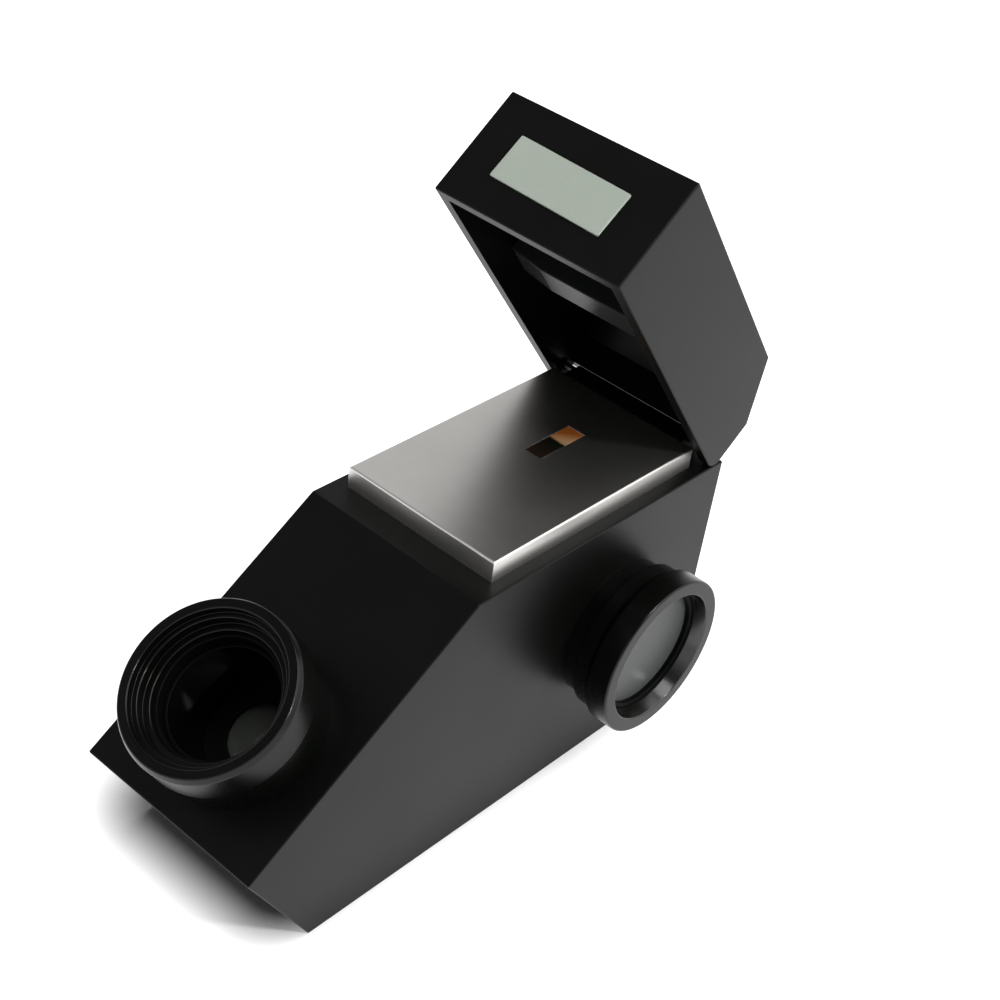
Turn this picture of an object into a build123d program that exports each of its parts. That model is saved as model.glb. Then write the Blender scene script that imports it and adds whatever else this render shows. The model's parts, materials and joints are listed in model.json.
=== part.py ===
from build123d import *
from math import asin, atan2, cos, degrees, radians, sin, tan
import os

os.makedirs("parts", exist_ok=True)

# Frame, in millimetres: x across, y towards the hinge, z up.
# The origin is on the resting face, straight below the centre of the prism.

# Housing
width = 32.0
body_length = 92.3
ledge_length = 53.8
ledge_height = 43.8
foot_height = 17.8
wall = 2.5
back_to_prism = 21.0
edge_round = 0.25

# Base plate, let into the bottom of the housing
base_thickness = 2.5
base_rim = 1.4
base_front_rim = 2.3
base_lip_width = 3.6
base_lip_height = 3.0
seat_gap = 0.05

# Stage plate and prism
plate_width = 27.6
plate_length = 43.7
plate_thickness = 3.35
plate_setback = 4.6
plate_bevel = 0.4
prism_radius = 4.8
prism_width = 3.0
prism_gap = 0.05
cradle_border = 2.6
cradle_flange = 3.6
cradle_flange_height = 1.5
cradle_slot_width = 2.0
cradle_slot_length = 5.0
filter_size = 8.0
filter_thickness = 1.0

# Lid, its hinge and what it carries
lid_open_angle = 52.0
lid_height = 17.2
lid_wall = 1.8
lid_top_length = 46.0
lid_chamfer_drop = 8.2
lid_rim_gap = 0.1
pivot_from_back = 2.2
lid_back_gap = 1.3
lid_cut_past_rim = 1.0
pin_radius = 0.6
pin_depth_in_lid = 1.2
pin_fit = 0.01
pin_running_fit = 0.03
hinge_block_width = 23.0
hinge_block_gap = 0.3
barrel_radius = 1.1
washer_thickness = 0.4
washer_gap = 0.1
label_width = 20.0
label_height = 7.0
label_thickness = 0.3
label_centre_height = 8.3
baffle_from_front = 20.0
baffle_thickness = 6.1
baffle_stage_gap = 0.35
baffle_foot_width = 16.0
baffle_slant_height = 0.8
baffle_side_gap = 0.1

# Eyepiece, measured along its axis from the slope
eye_up_slope = 15.75
eye_collar_radius = 12.0
eye_collar_height = 6.5
eye_neck_radius = 10.5
eye_neck_top = 8.7
eye_spigot_radius = 10.0
eye_spigot_depth = 8.0
eye_bore_radius = 8.5
eye_nut_radius = 12.4
eye_nut_height = 2.0
ring_radius = 12.7
ring_top = 12.5
ring_edge_width = 0.4
ring_edge_height = 0.9
ring_face_width = 1.4
ring_step_width = 0.8
ring_step_depth = 1.3
ring_bore_radius = 9.03
ring_bore_depth = 2.9
ring_end_gap = 0.1
snap_section = 0.6
snap_groove_height = 0.7
snap_up_collar = 1.0
snap_split = 2.0
snap_groove_gap = 0.1
running_fit = 0.05
cell_top = 7.0
cell_bottom = -8.5
cell_wall = 0.6
lens_shoulder = 1.2
lens_edge = 1.4
lens_bulge = 1.0
lens_up_cell = 1.0
lens_ring_height = 1.6
lens_ring_wall = 3.2

# Light port on the right side, measured outwards from the housing
port_height = 23.0
port_tube_radius = 11.1
port_step_radius = 11.9
port_lip_radius = 12.7
port_step_start = 2.6
port_step_end = 5.0
port_lip_start = 5.9
port_length = 9.5
port_mouth_radius = 10.46
port_bore_radius = 9.9
port_mouth_depth = 1.9
port_glass_seat = 5.3
port_glass_thickness = 1.2
port_ring_height = 0.8
port_ring_wall = 0.7
port_spigot_radius = 8.5
port_spigot_bore = 7.5
port_spigot_reach = 2.3
port_nut_radius = 10.6
port_nut_height = 2.0

# Mirrors and relay optics, carried by the base plate and the left wall
view_mirror_depth = 16.5
view_mirror_width = 14.0
view_mirror_length = 15.0
mirror_thickness = 1.5
view_bracket_width = 12.0
view_bracket_length = 8.0
view_bracket_gap = 0.6
light_mirror_run = 20.0
light_mirror_width = 14.0
light_bracket_web = 2.0
relay_start = 11.0
relay_ceiling_gap = 1.7
relay_radius = 6.5
relay_bore = 5.6
relay_step = 0.8
bulkhead_thickness = 2.5
bulkhead_along = 22.0
bulkhead_side_gap = 0.2
bulkhead_top_gap = 1.2
reticle_thickness = 1.2
reticle_inset = 1.5
objective_edge = 1.5
objective_bulge = 1.0
objective_inset = 2.0

# Screws
base_screw_radius = 1.0
base_screw_head = 1.9
small_screw_radius = 0.8
small_screw_head = 1.5
small_head_height = 1.0
thread_fit = 0.02
shank_gap = 0.1
slot_width = 0.4
slot_depth = 0.4
head_sink = 0.05
screw_end_gap = 0.2
blind_end = 0.5
stage_screw_side_inset = 3.3
stage_screw_end_inset = 5.0
stage_screw_skin = 1.0
hinge_screw_edge = 0.4
hinge_screw_bite = 2.0
inner_screw_inset = 2.5
inner_screw_bite = 3.5
light_screw_low = 7.5
light_screw_high = 2.0

# Places worked out from the sizes
half_width = width / 2
back_y = back_to_prism
ledge_front_y = back_y - ledge_length
foot_y = back_y - body_length
slope = atan2(ledge_height - foot_height, ledge_front_y - foot_y)
plate_top = ledge_height + plate_thickness
plate_front_y = ledge_front_y + plate_setback
plate_back_y = plate_front_y + plate_length
inner_half = half_width - wall
ceiling = ledge_height - wall
cavity_floor = base_thickness + base_lip_height
rise = (Align.CENTER, Align.CENTER, Align.MIN)
hang = (Align.CENTER, Align.CENTER, Align.MAX)


def outline(bottom):
    """Side view of the body, cut off at a height; the front underside is square to the slope."""
    toe_y = foot_y + (foot_height - bottom) * tan(slope)
    return [
        (back_y, bottom),
        (back_y, ledge_height),
        (ledge_front_y, ledge_height),
        (foot_y, foot_height),
        (toe_y, bottom),
    ]


def turn(profile, plane, axis, mode=Mode.ADD):
    """Turn a closed outline of radius and height about an axis."""
    with BuildSketch(plane) as section:
        with BuildLine():
            Polyline(*profile, close=True)
        make_face()
    revolve(section.sketch, axis=axis, mode=mode)


def turn_lens(radius, edge_low, edge_high, low_bulge, high_bulge, plane, axis):
    """Turn a lens whose faces are parts of spheres, or flat where the bulge is zero."""
    with BuildSketch(plane) as section:
        with BuildLine():
            Line((radius, edge_low), (radius, edge_high))
            for edge, bulge in ((edge_high, high_bulge), (edge_low, -low_bulge)):
                if bulge == 0:
                    Line((radius, edge), (0, edge))
                else:
                    sphere = (radius**2 + bulge**2) / (2 * abs(bulge))
                    middle = edge + bulge - (sphere if bulge > 0 else -sphere)
                    reach = degrees(asin(radius / sphere))
                    start = 90 - reach if bulge > 0 else -90
                    CenterArc((0, middle), sphere, start, reach)
            Line((0, edge_low - low_bulge), (0, edge_high + high_bulge))
        make_face()
    revolve(section.sketch, axis=axis)


def countersunk_screws(plane, points, radius, head, length, grow=0.0, mode=Mode.ADD):
    """Countersunk screws whose heads lie on the plane and whose tips point along its normal."""
    with Locations(plane):
        with Locations(*points):
            Cone(head + grow, radius + grow, head - radius, align=rise, mode=mode)
            Cylinder(radius + grow, length, align=rise, mode=mode)
            if mode == Mode.ADD:
                Box(slot_width, 2 * head, slot_depth, align=rise, mode=Mode.SUBTRACT)


def pan_screws(plane, points, radius, head, length):
    """Flat-headed screws that bear on the plane and whose tips point along its normal."""
    with Locations(plane):
        with Locations(*points):
            Cylinder(head, small_head_height, align=hang)
            Cylinder(radius, length, align=rise)
    with Locations(plane.offset(-small_head_height)):
        with Locations(*points):
            Box(slot_width, 2 * head, slot_depth, align=rise, mode=Mode.SUBTRACT)


def holes(plane, points, radius, length):
    """Plain holes that start on the plane and run along its normal."""
    with Locations(plane):
        with Locations(*points):
            Cylinder(radius, length, align=rise, mode=Mode.SUBTRACT)


# Eyepiece frame: height along the eyepiece axis, radius across the body
eye_y = foot_y + eye_up_slope * cos(slope)
eye_z = foot_height + eye_up_slope * sin(slope)
eye_normal = Vector(0, -sin(slope), cos(slope))
eye_origin = Vector(0, eye_y, eye_z)
eye_face = Plane(origin=eye_origin, x_dir=(1, 0, 0), z_dir=eye_normal)
eye_section = Plane(origin=eye_origin, x_dir=(1, 0, 0), z_dir=(0, -cos(slope), -sin(slope)))
eye_axis = Axis(eye_origin, eye_normal)

# Light port frame: sketch x is the distance from the mid-plane, sketch y the radius
port_origin = Vector(0, 0, port_height)
port_section = Plane(origin=port_origin, x_dir=(1, 0, 0), z_dir=(0, -1, 0))
port_axis = Axis(port_origin, (1, 0, 0))

# Viewing path: from the eyepiece down to the mirror, then up to the prism
view_point = eye_origin - eye_normal * view_mirror_depth
relay_line = (Vector(0, 0, plate_top) - view_point).normalized()
view_normal = (relay_line + eye_normal).normalized()
view_plane = Plane(origin=view_point, x_dir=(1, 0, 0), z_dir=view_normal)
relay_section = Plane(
    origin=view_point, x_dir=(1, 0, 0), z_dir=Vector(1, 0, 0).cross(relay_line)
)
relay_axis = Axis(view_point, relay_line)
relay_top = ceiling - relay_ceiling_gap - relay_radius * relay_line.Y
relay_end = (relay_top - view_point.Z) / relay_line.Z

# Hinge and lid frame: sketch x runs along the lid towards the back, sketch y away from its rim
pivot_y = back_y - pivot_from_back
pivot_z = ledge_height + lid_rim_gap + pivot_from_back
open_angle = radians(lid_open_angle)
lid_along = Vector(0, cos(open_angle), -sin(open_angle))
pivot = Vector(0, pivot_y, pivot_z)
lid_side = Plane(origin=pivot, x_dir=lid_along, z_dir=(1, 0, 0))
lid_front = pivot_from_back - ledge_length
lid_rim = -pivot_from_back
lid_top = lid_rim + lid_height

# Screw places
base_left = half_width - base_rim
base_front_y = outline(0)[-1][0] + base_front_rim
base_back_y = back_y - base_rim
base_mid_y = (base_front_y + base_back_y) / 2
base_length = base_back_y - base_front_y
opening_half = base_left - base_lip_width
opening_length = base_length - 2 * base_lip_width
base_screw_x = (opening_half + inner_half) / 2
base_screw_y = base_length / 2 - (base_left - base_screw_x)
base_screw_points = [(x, base_mid_y + y) for x in (-base_screw_x, base_screw_x)
                     for y in (-base_screw_y, base_screw_y)]
stage_screw_x = plate_width / 2 - stage_screw_side_inset
stage_screw_points = [
    (x, y) for x in (-stage_screw_x, stage_screw_x)
    for y in (plate_front_y + stage_screw_end_inset, plate_back_y - stage_screw_end_inset)
]
hinge_front_y = plate_back_y + hinge_block_gap
hinge_screw_y = hinge_front_y + small_screw_radius + hinge_screw_edge
hinge_screw_points = [(x, hinge_screw_y) for x in (-hinge_block_width / 3, hinge_block_width / 3)]
cradle_half_x = prism_width / 2 + cradle_border
cradle_half_y = prism_radius + cradle_border
cradle_screw_y = cradle_half_y + cradle_flange / 2
cradle_screw_points = [(0, -cradle_screw_y), (0, cradle_screw_y)]
opening_front_y = base_mid_y - opening_length / 2
bracket_y = opening_front_y + view_bracket_gap + view_bracket_length / 2
bulkhead_y = view_point.Y + bulkhead_along * relay_line.Y
inner_screw_x = view_bracket_width / 2 - inner_screw_inset
bracket_screw_points = [(-inner_screw_x, bracket_y), (inner_screw_x, bracket_y)]
bulkhead_screw_points = [(-inner_screw_x, bulkhead_y), (inner_screw_x, bulkhead_y)]
inner_screw_points = bracket_screw_points + bulkhead_screw_points
light_screw_points = [(0, port_height - light_screw_low), (0, port_height - light_screw_high)]
ledge_under = Plane.XY.offset(ceiling)
left_wall_inside = Plane(
    origin=(-inner_half + light_bracket_web, 0, 0), x_dir=(0, -1, 0), z_dir=(-1, 0, 0)
)

# Housing: one shell, open below, with holes for the eyepiece, the light port and the prism
with BuildPart() as housing:
    with BuildSketch(Plane.YZ):
        with BuildLine():
            Polyline(*outline(0), close=True)
        make_face()
    extrude(amount=half_width, both=True)
    fillet(housing.edges(), edge_round)
    with BuildSketch(Plane.YZ):
        with BuildLine():
            Polyline(*outline(cavity_floor - wall), close=True)
        make_face()
        offset(amount=-wall, kind=Kind.INTERSECTION)
    extrude(amount=inner_half, both=True, mode=Mode.SUBTRACT)
    with BuildSketch(Plane.XY):
        with Locations((0, base_mid_y)):
            Rectangle(2 * base_left, base_length)
    extrude(amount=base_thickness, mode=Mode.SUBTRACT)
    with BuildSketch(Plane.XY.offset(base_thickness)):
        with Locations((0, base_mid_y)):
            Rectangle(2 * opening_half, opening_length)
    extrude(amount=base_lip_height, mode=Mode.SUBTRACT)
    holes(eye_face.offset(-2 * wall), [(0, 0)], eye_spigot_radius + seat_gap, 3 * wall)
    holes(
        Plane(origin=(inner_half - wall, 0, port_height), z_dir=(1, 0, 0)),
        [(0, 0)], port_spigot_radius + seat_gap, 3 * wall,
    )
    with BuildSketch(ledge_under):
        Rectangle(2 * (cradle_half_x + seat_gap), 2 * (cradle_half_y + seat_gap))
    extrude(amount=wall, mode=Mode.SUBTRACT)
    holes(ledge_under, stage_screw_points, base_screw_radius + shank_gap, wall)
    holes(ledge_under, hinge_screw_points, small_screw_radius + shank_gap, wall)
    holes(
        ledge_under, cradle_screw_points, small_screw_radius + thread_fit, wall - blind_end
    )
    holes(
        Plane.XY.offset(base_thickness), base_screw_points,
        base_screw_radius + thread_fit, base_lip_height,
    )
    holes(
        left_wall_inside.offset(light_bracket_web), light_screw_points,
        small_screw_radius + thread_fit, wall - blind_end,
    )
housing.part.label = "housing"
export_step(housing.part, "parts/housing.step")

# Base plate: closes the bottom and carries the optics
with BuildPart() as base_plate:
    with BuildSketch(Plane.XY):
        with Locations((0, base_mid_y)):
            Rectangle(2 * (base_left - seat_gap), base_length - 2 * seat_gap)
    extrude(amount=base_thickness)
    countersunk_screws(
        Plane.XY, base_screw_points, base_screw_radius, base_screw_head + head_sink,
        base_thickness, grow=shank_gap, mode=Mode.SUBTRACT,
    )
    countersunk_screws(
        Plane.XY, inner_screw_points, base_screw_radius, base_screw_head + head_sink,
        base_thickness, grow=shank_gap, mode=Mode.SUBTRACT,
    )
base_plate.part.label = "base_plate"
export_step(base_plate.part, "parts/base_plate.step")

# Four screws that hold the base plate to the housing
with BuildPart() as base_screws:
    countersunk_screws(
        Plane.XY.offset(head_sink), base_screw_points, base_screw_radius, base_screw_head,
        base_thickness + base_lip_height - 2 * head_sink,
    )
base_screws.part.label = "base_screws"
export_step(base_screws.part, "parts/base_screws.step")

# Stage plate with the window for the prism
plate_screw_depth = plate_thickness - stage_screw_skin
with BuildPart() as stage_plate:
    with BuildSketch(Plane.XY.offset(ledge_height)):
        with Locations((0, (plate_front_y + plate_back_y) / 2)):
            Rectangle(plate_width, plate_length)
        Rectangle(
            prism_width + 2 * prism_gap, 2 * (prism_radius + prism_gap), mode=Mode.SUBTRACT
        )
    extrude(amount=plate_thickness)
    rim_edges = stage_plate.faces().sort_by(Axis.Z)[-1].outer_wire().edges()
    chamfer(rim_edges, plate_bevel)
    holes(
        Plane.XY.offset(ledge_height), stage_screw_points,
        base_screw_radius + thread_fit, plate_screw_depth,
    )
stage_plate.part.label = "stage_plate"
export_step(stage_plate.part, "parts/stage_plate.step")

# Screws that hold the stage plate from inside the housing
with BuildPart() as stage_screws:
    pan_screws(
        ledge_under, stage_screw_points, base_screw_radius, base_screw_head,
        wall + plate_screw_depth - screw_end_gap,
    )
stage_screws.part.label = "stage_screws"
export_step(stage_screws.part, "parts/stage_screws.step")

# Prism: half a glass cylinder with its flat side up
with BuildPart() as prism:
    with BuildSketch(Plane.YZ):
        with Locations((0, plate_top)):
            Circle(prism_radius)
            Rectangle(2 * prism_radius, prism_radius, align=(Align.CENTER, Align.MIN),
                      mode=Mode.SUBTRACT)
    extrude(amount=prism_width / 2, both=True)
prism.part.label = "prism"
export_step(prism.part, "parts/prism.step")

# Cradle that holds the prism from below in the ledge
with BuildPart() as prism_cradle:
    with BuildSketch(ledge_under):
        Rectangle(2 * cradle_half_x, 2 * cradle_half_y)
    extrude(amount=wall)
    with BuildSketch(ledge_under):
        Rectangle(2 * cradle_half_x, 2 * (cradle_half_y + cradle_flange))
    extrude(amount=-cradle_flange_height)
    with BuildSketch(Plane.YZ):
        with Locations((0, plate_top)):
            Circle(prism_radius + prism_gap)
    extrude(amount=prism_width / 2 + prism_gap, both=True, mode=Mode.SUBTRACT)
    with BuildSketch(ledge_under.offset(-cradle_flange_height)):
        Rectangle(cradle_slot_width, cradle_slot_length)
    extrude(amount=cradle_flange_height + wall, mode=Mode.SUBTRACT)
    holes(
        ledge_under.offset(-cradle_flange_height), cradle_screw_points,
        small_screw_radius + shank_gap, cradle_flange_height,
    )
prism_cradle.part.label = "prism_cradle"
export_step(prism_cradle.part, "parts/prism_cradle.step")

# Two screws that hold the cradle to the ledge
with BuildPart() as cradle_screws:
    pan_screws(
        ledge_under.offset(-cradle_flange_height), cradle_screw_points, small_screw_radius,
        small_screw_head, cradle_flange_height + wall - blind_end - screw_end_gap,
    )
cradle_screws.part.label = "cradle_screws"
export_step(cradle_screws.part, "parts/cradle_screws.step")

# Amber filter under the cradle's light slot
with BuildPart() as amber_filter:
    with BuildSketch(ledge_under.offset(-cradle_flange_height)):
        Rectangle(filter_size, filter_size)
    extrude(amount=-filter_thickness)
amber_filter.part.label = "amber_filter"
export_step(amber_filter.part, "parts/amber_filter.step")

# Hinge block on the ledge, rounded about the pin
with BuildPart() as hinge_block:
    with BuildSketch(Plane.YZ):
        with BuildLine():
            Polyline(
                (pivot_y, pivot_z + barrel_radius), (hinge_front_y, pivot_z + barrel_radius),
                (hinge_front_y, ledge_height), (pivot_y + barrel_radius, ledge_height),
                (pivot_y + barrel_radius, pivot_z),
            )
            CenterArc((pivot_y, pivot_z), barrel_radius, 0, 90)
        make_face()
    extrude(amount=hinge_block_width / 2, both=True)
    with BuildSketch(Plane.YZ):
        with Locations((pivot_y, pivot_z)):
            Circle(pin_radius + pin_fit)
    extrude(amount=hinge_block_width / 2, both=True, mode=Mode.SUBTRACT)
    holes(
        Plane.XY.offset(ledge_height), hinge_screw_points,
        small_screw_radius + thread_fit, hinge_screw_bite,
    )
hinge_block.part.label = "hinge_block"
export_step(hinge_block.part, "parts/hinge_block.step")

# Two screws that hold the hinge block from inside the housing
with BuildPart() as hinge_screws:
    pan_screws(
        ledge_under, hinge_screw_points, small_screw_radius, small_screw_head,
        wall + hinge_screw_bite - screw_end_gap,
    )
hinge_screws.part.label = "hinge_screws"
export_step(hinge_screws.part, "parts/hinge_screws.step")

# Hinge pin, held in the block and running in blind holes in the lid's side walls
lid_inner_half = half_width - lid_wall
with BuildPart() as hinge_pin:
    with BuildSketch(Plane.YZ):
        with Locations((pivot_y, pivot_z)):
            Circle(pin_radius)
    extrude(amount=lid_inner_half + pin_depth_in_lid, both=True)
hinge_pin.part.label = "hinge_pin"
export_step(hinge_pin.part, "parts/hinge_pin.step")

# Two friction washers on the pin, one against each side wall of the lid
with BuildPart() as friction_washers:
    for side in (-1, 1):
        with BuildSketch(Plane.YZ.offset(side * (lid_inner_half - washer_gap))):
            with Locations((pivot_y, pivot_z)):
                Circle(barrel_radius)
                Circle(pin_radius + pin_fit, mode=Mode.SUBTRACT)
        extrude(amount=-side * washer_thickness)
friction_washers.part.label = "friction_washers"
export_step(friction_washers.part, "parts/friction_washers.step")

# Lid shell: a hood open at its rim, chamfered at the top of its back
lid_outline = [
    (lid_front, lid_rim), (lid_front, lid_top), (lid_front + lid_top_length, lid_top),
    (pivot_from_back, lid_top - lid_chamfer_drop), (pivot_from_back, lid_rim),
]
with BuildPart() as lid_shell:
    with BuildSketch(lid_side):
        with BuildLine():
            Polyline(*lid_outline, close=True)
        make_face()
    extrude(amount=half_width, both=True)
    corner = lid_shell.edges().filter_by(Axis.X).sort_by_distance(
        lid_side.from_local_coords(Vector(pivot_from_back, lid_rim, 0))
    )[0]
    fillet(corner, pivot_from_back - 0.001)
    fillet(lid_shell.edges().filter_by(GeomType.LINE), edge_round)
    with BuildSketch(lid_side):
        with BuildLine():
            Polyline(*lid_outline, close=True)
        make_face()
        offset(amount=-lid_wall, kind=Kind.INTERSECTION)
        with Locations((lid_front + lid_wall, lid_rim - lid_cut_past_rim)):
            Rectangle(
                ledge_length - 2 * lid_wall, lid_wall + 2 * lid_cut_past_rim,
                align=(Align.MIN, Align.MIN),
            )
    extrude(amount=lid_inner_half, both=True, mode=Mode.SUBTRACT)
    with BuildSketch(lid_side):
        with Locations((0, lid_rim - lid_cut_past_rim)):
            Rectangle(
                pivot_from_back + lid_cut_past_rim, lid_back_gap - lid_rim + lid_cut_past_rim,
                align=(Align.MIN, Align.MIN),
            )
    extrude(amount=lid_inner_half, both=True, mode=Mode.SUBTRACT)
    with BuildSketch(lid_side):
        Circle(pin_radius + pin_running_fit)
    extrude(amount=lid_inner_half + pin_depth_in_lid + pin_running_fit, both=True,
            mode=Mode.SUBTRACT)
lid_shell.part.label = "lid_shell"
export_step(lid_shell.part, "parts/lid_shell.step")

# Bare label plate on the front of the lid
label_plane = Plane(
    origin=lid_side.from_local_coords(Vector(lid_front, lid_rim + label_centre_height, 0)),
    x_dir=(1, 0, 0), z_dir=-lid_along,
)
with BuildPart() as label_plate:
    with BuildSketch(label_plane):
        Rectangle(label_width, label_height)
    extrude(amount=label_thickness)
label_plate.part.label = "label_plate"
export_step(label_plate.part, "parts/label_plate.step")

# Light baffle across the inside of the lid, just in front of the prism when the lid is shut
baffle_foot = lid_rim - lid_rim_gap + plate_thickness + baffle_stage_gap
baffle_half = lid_inner_half - baffle_side_gap
baffle_plane = Plane(
    origin=pivot + lid_along * (lid_front + baffle_from_front), x_dir=(1, 0, 0),
    z_dir=-lid_along,
)
with BuildPart() as lid_baffle:
    with BuildSketch(baffle_plane):
        with BuildLine():
            Polyline(
                (-baffle_foot_width / 2, baffle_foot), (baffle_foot_width / 2, baffle_foot),
                (baffle_half, baffle_foot + baffle_slant_height), (baffle_half, lid_top - lid_wall),
                (-baffle_half, lid_top - lid_wall), (-baffle_half, baffle_foot + baffle_slant_height),
                close=True,
            )
        make_face()
    extrude(amount=-baffle_thickness)
lid_baffle.part.label = "lid_baffle"
export_step(lid_baffle.part, "parts/lid_baffle.step")

# Eyepiece base: collar on the slope, neck for the focus ring, spigot through the wall
groove_low = eye_collar_height + snap_up_collar
groove_high = groove_low + snap_groove_height
groove_depth = snap_section - snap_groove_gap
with BuildPart() as eyepiece_base:
    turn(
        [
            (eye_bore_radius, -eye_spigot_depth), (eye_spigot_radius, -eye_spigot_depth),
            (eye_spigot_radius, 0), (eye_collar_radius, 0),
            (eye_collar_radius, eye_collar_height), (eye_neck_radius, eye_collar_height),
            (eye_neck_radius, groove_low), (eye_neck_radius - groove_depth, groove_low),
            (eye_neck_radius - groove_depth, groove_high), (eye_neck_radius, groove_high),
            (eye_neck_radius, eye_neck_top), (eye_bore_radius, eye_neck_top),
        ],
        eye_section, eye_axis,
    )
eyepiece_base.part.label = "eyepiece_base"
export_step(eyepiece_base.part, "parts/eyepiece_base.step")

# Nut that clamps the eyepiece base from inside the housing
with BuildPart() as eyepiece_nut:
    turn(
        [
            (eye_spigot_radius + thread_fit, -wall), (eye_nut_radius, -wall),
            (eye_nut_radius, -wall - eye_nut_height),
            (eye_spigot_radius + thread_fit, -wall - eye_nut_height),
        ],
        eye_section, eye_axis,
    )
eyepiece_nut.part.label = "eyepiece_nut"
export_step(eyepiece_nut.part, "parts/eyepiece_nut.step")

# Focus ring: the cup round the eyepiece's mouth, stepped inside, that is turned to focus
ring_low = eye_collar_height + ring_end_gap
ring_inner = eye_neck_radius + running_fit
ring_shelf = eye_neck_top + ring_end_gap
ring_face_radius = ring_radius - ring_edge_width
ring_mouth_radius = ring_face_radius - ring_face_width
ring_step_radius = ring_mouth_radius - ring_step_width
with BuildPart() as focus_ring:
    turn(
        [
            (ring_inner, ring_low), (ring_radius, ring_low),
            (ring_radius, ring_top - ring_edge_height), (ring_face_radius, ring_top),
            (ring_mouth_radius, ring_top),
            (ring_mouth_radius, ring_top - ring_step_depth),
            (ring_step_radius, ring_top - ring_step_depth),
            (ring_step_radius, ring_top - ring_bore_depth),
            (ring_bore_radius, ring_top - ring_bore_depth),
            (ring_bore_radius, ring_shelf), (ring_inner, ring_shelf),
            (ring_inner, groove_high), (ring_inner + groove_depth, groove_high),
            (ring_inner + groove_depth, groove_low), (ring_inner, groove_low),
        ],
        eye_section, eye_axis,
    )
focus_ring.part.label = "focus_ring"
export_step(focus_ring.part, "parts/focus_ring.step")

# Split snap ring that keeps the focus ring on the neck
snap_low = (groove_low + groove_high - snap_section) / 2
snap_inner = eye_neck_radius - groove_depth + running_fit
snap_outer = ring_inner + groove_depth - running_fit
with BuildPart() as snap_ring:
    turn(
        [
            (snap_inner, snap_low), (snap_outer, snap_low),
            (snap_outer, snap_low + snap_section), (snap_inner, snap_low + snap_section),
        ],
        eye_section, eye_axis,
    )
    with BuildSketch(eye_face.offset(snap_low)):
        with Locations((0, snap_outer)):
            Rectangle(snap_split, 4 * snap_section)
    extrude(amount=snap_section, mode=Mode.SUBTRACT)
snap_ring.part.label = "snap_ring"
export_step(snap_ring.part, "parts/snap_ring.step")

# Lens cell: a tube that slides in the eyepiece base
cell_radius = eye_bore_radius - running_fit
cell_bore = cell_radius - cell_wall
lens_seat = cell_bottom + lens_up_cell
with BuildPart() as lens_cell:
    turn(
        [
            (cell_bore - lens_shoulder, cell_bottom), (cell_radius, cell_bottom),
            (cell_radius, cell_top), (cell_bore, cell_top),
            (cell_bore, lens_seat), (cell_bore - lens_shoulder, lens_seat),
        ],
        eye_section, eye_axis,
    )
lens_cell.part.label = "lens_cell"
export_step(lens_cell.part, "parts/lens_cell.step")

# Eye lens, flat side in
lens_radius = cell_bore - thread_fit
with BuildPart() as eye_lens:
    turn_lens(lens_radius, lens_seat, lens_seat + lens_edge, 0, lens_bulge, eye_section, eye_axis)
eye_lens.part.label = "eye_lens"
export_step(eye_lens.part, "parts/eye_lens.step")

# Threaded ring that holds the eye lens in its cell
with BuildPart() as lens_retainer:
    turn(
        [
            (lens_radius - lens_ring_wall, lens_seat + lens_edge + lens_ring_height),
            (lens_radius, lens_seat + lens_edge + lens_ring_height),
            (lens_radius, lens_seat + lens_edge + thread_fit),
            (lens_radius - thread_fit, lens_seat + lens_edge + thread_fit),
            (lens_radius - lens_ring_wall, lens_seat + lens_edge + lens_ring_height / 2),
        ],
        eye_section, eye_axis,
    )
lens_retainer.part.label = "lens_retainer"
export_step(lens_retainer.part, "parts/lens_retainer.step")

# Light port: tube, step and lip outside, spigot through the right wall
port_seat_x = half_width + port_glass_seat
with BuildPart() as port_tube:
    turn(
        [
            (inner_half - port_spigot_reach, port_spigot_bore),
            (inner_half - port_spigot_reach, port_spigot_radius),
            (half_width, port_spigot_radius), (half_width, port_tube_radius),
            (half_width + port_step_start, port_tube_radius),
            (half_width + port_step_start, port_step_radius),
            (half_width + port_step_end, port_step_radius),
            (half_width + port_lip_start, port_lip_radius),
            (half_width + port_length, port_lip_radius),
            (half_width + port_length, port_mouth_radius),
            (half_width + port_length - port_mouth_depth, port_bore_radius),
            (port_seat_x, port_bore_radius), (port_seat_x, port_spigot_bore),
        ],
        port_section, port_axis,
    )
port_tube.part.label = "port_tube"
export_step(port_tube.part, "parts/port_tube.step")

# Nut that clamps the light port from inside the housing
with BuildPart() as port_nut:
    turn(
        [
            (inner_half, port_spigot_radius + thread_fit), (inner_half, port_nut_radius),
            (inner_half - port_nut_height, port_nut_radius),
            (inner_half - port_nut_height, port_spigot_radius + thread_fit),
        ],
        port_section, port_axis,
    )
port_nut.part.label = "port_nut"
export_step(port_nut.part, "parts/port_nut.step")

# Frosted window in the light port
port_glass_x = port_seat_x + port_glass_thickness
with BuildPart() as port_window:
    turn(
        [
            (port_seat_x, 0), (port_seat_x, port_bore_radius - seat_gap),
            (port_glass_x, port_bore_radius - seat_gap), (port_glass_x, 0),
        ],
        port_section, port_axis,
    )
port_window.part.label = "port_window"
export_step(port_window.part, "parts/port_window.step")

# Threaded ring that holds the frosted window
with BuildPart() as port_retainer:
    turn(
        [
            (port_glass_x, port_bore_radius - thread_fit - port_ring_wall),
            (port_glass_x, port_bore_radius - thread_fit),
            (port_glass_x + port_ring_height, port_bore_radius - thread_fit),
            (port_glass_x + port_ring_height, port_bore_radius - thread_fit - port_ring_wall),
        ],
        port_section, port_axis,
    )
port_retainer.part.label = "port_retainer"
export_step(port_retainer.part, "parts/port_retainer.step")

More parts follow.
